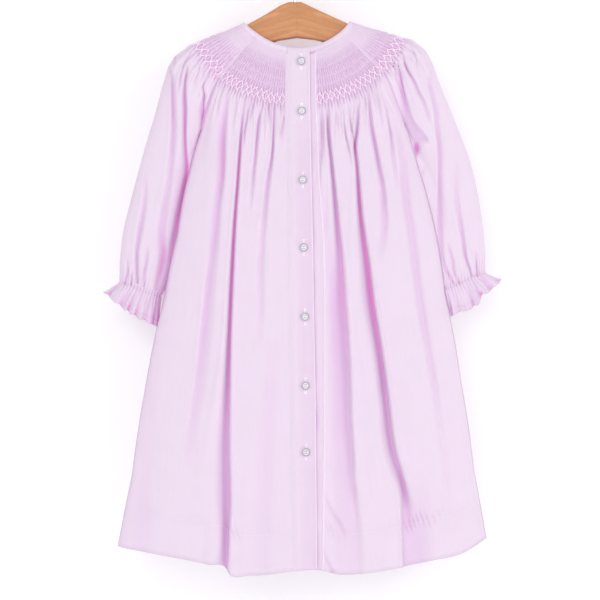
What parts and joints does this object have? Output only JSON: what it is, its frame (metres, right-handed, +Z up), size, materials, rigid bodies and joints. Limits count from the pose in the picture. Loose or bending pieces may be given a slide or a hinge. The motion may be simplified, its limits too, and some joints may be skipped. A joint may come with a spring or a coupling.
{
  "type": "smocked dress on a wooden hanger",
  "caption": "Smocked child's dress with a button front, raglan sleeves and ruffled cuffs, hanging open on a flat wooden hanger.",
  "frame": {"origin": "inside top of the hook's bend, where a rail would carry it", "axes": "+Z up, -Y the front of the dress, +X to the right of a person looking at the front"},
  "size_m": [0.4009, 0.0608, 0.64],
  "materials": {
    "front_left": "fine plain-woven cotton, pale lilac pink",
    "front_right": "fine plain-woven cotton, pale lilac pink",
    "placket_over": "fine plain-woven cotton, folded and edge stitched",
    "placket_under": "fine plain-woven cotton, folded",
    "back": "fine plain-woven cotton, pale lilac pink",
    "sleeve_left": "fine plain-woven cotton, pale lilac pink",
    "sleeve_right": "fine plain-woven cotton, pale lilac pink",
    "neck_binding": "cotton bias strip, edge stitched",
    "button_1": "pearly",
    "button_2": "pearly",
    "button_3": "pearly",
    "button_4": "pearly",
    "button_5": "pearly",
    "button_6": "pearly",
    "button_7": "pearly",
    "hanger": "clear varnish, satin",
    "hook": "polished wire"
  },
  "bodies": {
    "root": {"front_left": "front_left", "front_right": "front_right", "placket_over": "placket_over", "placket_under": "placket_under", "back": "back", "sleeve_left": "sleeve_left", "sleeve_right": "sleeve_right", "neck_binding": "neck_binding", "button_1": "button_1", "button_2": "button_2", "button_3": "button_3", "button_4": "button_4", "button_5": "button_5", "button_6": "button_6", "button_7": "button_7", "hanger": "hanger", "hook": "hook"}
  },
  "joints": []
}
